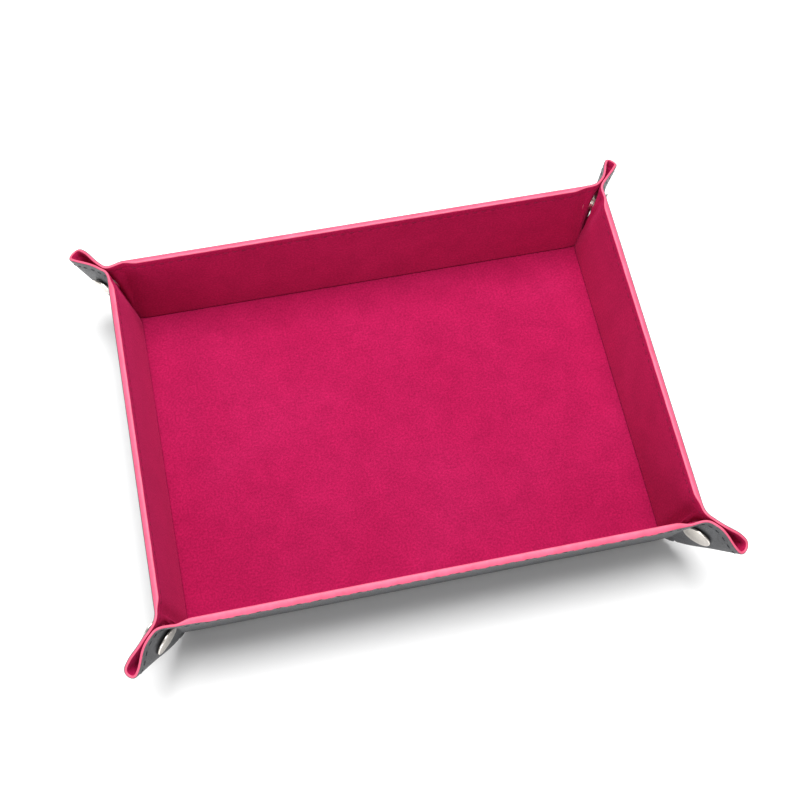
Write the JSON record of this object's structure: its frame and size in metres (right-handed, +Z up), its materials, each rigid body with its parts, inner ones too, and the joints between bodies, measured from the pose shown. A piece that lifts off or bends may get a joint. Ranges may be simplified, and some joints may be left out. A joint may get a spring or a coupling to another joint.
{
  "type": "folding dice tray",
  "caption": "Shallow rectangular dice tray with leaning padded walls pinched into snapped corner ears; undo the snaps and it folds flat.",
  "frame": {"origin": "centre of the floor's underside, on the surface the tray stands on", "axes": "+X to the right along the tray's long side, +Y to the back, +Z up"},
  "size_m": [0.2516, 0.1936, 0.0391],
  "materials": {
    "leather": "fine-grained dark grey artificial leather, slightly glossy",
    "lining": "magenta short-pile velvet, matt with a soft sheen",
    "board": "plain pressed fibreboard",
    "nickel": "satin nickel plate on pressed brass",
    "edge_coat": "satin light pink edge paint, hand applied",
    "thread": "twisted polyester sewing thread"
  },
  "bodies": {
    "base": {"base_leather": "leather", "base_board": "board", "base_lining": "lining"},
    "front_wall": {"front_wall_leather": "leather", "front_wall_board": "board", "front_wall_lining": "lining"},
    "front_left_gusset_front": {"front_left_gusset_front_leather": "leather", "front_left_gusset_front_lining": "lining", "front_left_snap_cap_front": "nickel", "front_left_snap_socket": "nickel"},
    "front_left_ridge_front": {"front_left_ridge_front": "leather"},
    "front_right_gusset_front": {"front_right_gusset_front_leather": "leather", "front_right_gusset_front_lining": "lining", "front_right_snap_cap_front": "nickel", "front_right_snap_socket": "nickel"},
    "front_right_ridge_front": {"front_right_ridge_front": "leather"},
    "back_wall": {"back_wall_leather": "leather", "back_wall_board": "board", "back_wall_lining": "lining"},
    "back_right_gusset_back": {"back_right_gusset_back_leather": "leather", "back_right_gusset_back_lining": "lining", "back_right_snap_cap_back": "nickel", "back_right_snap_socket": "nickel"},
    "back_right_ridge_back": {"back_right_ridge_back": "leather"},
    "back_left_gusset_back": {"back_left_gusset_back_leather": "leather", "back_left_gusset_back_lining": "lining", "back_left_snap_cap_back": "nickel", "back_left_snap_socket": "nickel"},
    "back_left_ridge_back": {"back_left_ridge_back": "leather"},
    "left_wall": {"left_wall_leather": "leather", "left_wall_board": "board", "left_wall_lining": "lining"},
    "back_left_gusset_left": {"back_left_gusset_left_leather": "leather", "back_left_gusset_left_lining": "lining", "back_left_snap_cap_left": "nickel", "back_left_snap_stud": "nickel"},
    "back_left_ridge_left": {"back_left_ridge_left": "leather"},
    "front_left_gusset_left": {"front_left_gusset_left_leather": "leather", "front_left_gusset_left_lining": "lining", "front_left_snap_cap_left": "nickel", "front_left_snap_stud": "nickel"},
    "front_left_ridge_left": {"front_left_ridge_left": "leather"},
    "right_wall": {"right_wall_leather": "leather", "right_wall_board": "board", "right_wall_lining": "lining"},
    "front_right_gusset_right": {"front_right_gusset_right_leather": "leather", "front_right_gusset_right_lining": "lining", "front_right_snap_cap_right": "nickel", "front_right_snap_stud": "nickel"},
    "front_right_ridge_right": {"front_right_ridge_right": "leather"},
    "back_right_gusset_right": {"back_right_gusset_right_leather": "leather", "back_right_gusset_right_lining": "lining", "back_right_snap_cap_right": "nickel", "back_right_snap_stud": "nickel"},
    "back_right_ridge_right": {"back_right_ridge_right": "leather"}
  },
  "joints": [
    {"name": "front_wall_fold", "type": "hinge", "parent": "base", "child": "front_wall", "pos_m": [0, -0.072, 0.0007], "axis": [1, 0, 0], "range_deg": [0, 76.5]},
    {"name": "front_left_gusset_front_fold", "type": "hinge", "parent": "front_wall", "child": "front_left_gusset_front", "pos_m": [-0.101, -0.072, 0.0007], "axis": [0.0698, 0.1818, -0.9809], "range_deg": [0, 46.3]},
    {"name": "front_left_ridge_front_fold", "type": "hinge", "parent": "front_left_gusset_front", "child": "front_left_ridge_front", "pos_m": [-0.101, -0.072, 0.0007], "axis": [-0.4485, -0.5718, 0.6869], "range_deg": [0, 85.8]},
    {"name": "front_right_gusset_front_fold", "type": "hinge", "parent": "front_wall", "child": "front_right_gusset_front", "pos_m": [0.101, -0.072, 0.0007], "axis": [0.0698, -0.1818, 0.9809], "range_deg": [0, 46.3]},
    {"name": "front_right_ridge_front_fold", "type": "hinge", "parent": "front_right_gusset_front", "child": "front_right_ridge_front", "pos_m": [0.101, -0.072, 0.0007], "axis": [-0.4485, 0.5718, -0.6869], "range_deg": [0, 85.8]},
    {"name": "back_wall_fold", "type": "hinge", "parent": "base", "child": "back_wall", "pos_m": [0, 0.072, 0.0007], "axis": [-1, 0, 0], "range_deg": [0, 76.5]},
    {"name": "back_right_gusset_back_fold", "type": "hinge", "parent": "back_wall", "child": "back_right_gusset_back", "pos_m": [0.101, 0.072, 0.0007], "axis": [-0.0698, -0.1818, -0.9809], "range_deg": [0, 46.3]},
    {"name": "back_right_ridge_back_fold", "type": "hinge", "parent": "back_right_gusset_back", "child": "back_right_ridge_back", "pos_m": [0.101, 0.072, 0.0007], "axis": [0.4485, 0.5718, 0.6869], "range_deg": [0, 85.8]},
    {"name": "back_left_gusset_back_fold", "type": "hinge", "parent": "back_wall", "child": "back_left_gusset_back", "pos_m": [-0.101, 0.072, 0.0007], "axis": [-0.0698, 0.1818, 0.9809], "range_deg": [0, 46.3]},
    {"name": "back_left_ridge_back_fold", "type": "hinge", "parent": "back_left_gusset_back", "child": "back_left_ridge_back", "pos_m": [-0.101, 0.072, 0.0007], "axis": [0.4485, -0.5718, -0.6869], "range_deg": [0, 85.8]},
    {"name": "left_wall_fold", "type": "hinge", "parent": "base", "child": "left_wall", "pos_m": [-0.101, 0, 0.0007], "axis": [0, -1, 0], "range_deg": [0, 76.5]},
    {"name": "back_left_gusset_left_fold", "type": "hinge", "parent": "left_wall", "child": "back_left_gusset_left", "pos_m": [-0.101, 0.072, 0.0007], "axis": [0.1818, -0.0698, -0.9809], "range_deg": [0, 46.3]},
    {"name": "back_left_ridge_left_fold", "type": "hinge", "parent": "back_left_gusset_left", "child": "back_left_ridge_left", "pos_m": [-0.101, 0.072, 0.0007], "axis": [-0.5718, 0.4485, 0.6869], "range_deg": [0, 85.8]},
    {"name": "front_left_gusset_left_fold", "type": "hinge", "parent": "left_wall", "child": "front_left_gusset_left", "pos_m": [-0.101, -0.072, 0.0007], "axis": [-0.1818, -0.0698, 0.9809], "range_deg": [0, 46.3]},
    {"name": "front_left_ridge_left_fold", "type": "hinge", "parent": "front_left_gusset_left", "child": "front_left_ridge_left", "pos_m": [-0.101, -0.072, 0.0007], "axis": [0.5718, 0.4485, -0.6869], "range_deg": [0, 85.8]},
    {"name": "right_wall_fold", "type": "hinge", "parent": "base", "child": "right_wall", "pos_m": [0.101, 0, 0.0007], "axis": [0, 1, 0], "range_deg": [0, 76.5]},
    {"name": "front_right_gusset_right_fold", "type": "hinge", "parent": "right_wall", "child": "front_right_gusset_right", "pos_m": [0.101, -0.072, 0.0007], "axis": [-0.1818, 0.0698, -0.9809], "range_deg": [0, 46.3]},
    {"name": "front_right_ridge_right_fold", "type": "hinge", "parent": "front_right_gusset_right", "child": "front_right_ridge_right", "pos_m": [0.101, -0.072, 0.0007], "axis": [0.5718, -0.4485, 0.6869], "range_deg": [0, 85.8]},
    {"name": "back_right_gusset_right_fold", "type": "hinge", "parent": "right_wall", "child": "back_right_gusset_right", "pos_m": [0.101, 0.072, 0.0007], "axis": [0.1818, 0.0698, 0.9809], "range_deg": [0, 46.3]},
    {"name": "back_right_ridge_right_fold", "type": "hinge", "parent": "back_right_gusset_right", "child": "back_right_ridge_right", "pos_m": [0.101, 0.072, 0.0007], "axis": [-0.5718, -0.4485, -0.6869], "range_deg": [0, 85.8]}
  ],
  "couplings": [
    {"joint": "front_left_gusset_front_fold", "follows": "front_wall_fold", "ratio": 0.60418},
    {"joint": "front_left_ridge_front_fold", "follows": "front_wall_fold", "ratio": 1.1214},
    {"joint": "front_right_gusset_front_fold", "follows": "front_wall_fold", "ratio": 0.60418},
    {"joint": "front_right_ridge_front_fold", "follows": "front_wall_fold", "ratio": 1.1214},
    {"joint": "back_wall_fold", "follows": "front_wall_fold", "ratio": 1},
    {"joint": "back_right_gusset_back_fold", "follows": "front_wall_fold", "ratio": 0.60418},
    {"joint": "back_right_ridge_back_fold", "follows": "front_wall_fold", "ratio": 1.1214},
    {"joint": "back_left_gusset_back_fold", "follows": "front_wall_fold", "ratio": 0.60418},
    {"joint": "back_left_ridge_back_fold", "follows": "front_wall_fold", "ratio": 1.1214},
    {"joint": "left_wall_fold", "follows": "front_wall_fold", "ratio": 1},
    {"joint": "back_left_gusset_left_fold", "follows": "front_wall_fold", "ratio": 0.60418},
    {"joint": "back_left_ridge_left_fold", "follows": "front_wall_fold", "ratio": 1.1214},
    {"joint": "front_left_gusset_left_fold", "follows": "front_wall_fold", "ratio": 0.60418},
    {"joint": "front_left_ridge_left_fold", "follows": "front_wall_fold", "ratio": 1.1214},
    {"joint": "right_wall_fold", "follows": "front_wall_fold", "ratio": 1},
    {"joint": "front_right_gusset_right_fold", "follows": "front_wall_fold", "ratio": 0.60418},
    {"joint": "front_right_ridge_right_fold", "follows": "front_wall_fold", "ratio": 1.1214},
    {"joint": "back_right_gusset_right_fold", "follows": "front_wall_fold", "ratio": 0.60418},
    {"joint": "back_right_ridge_right_fold", "follows": "front_wall_fold", "ratio": 1.1214}
  ]
}
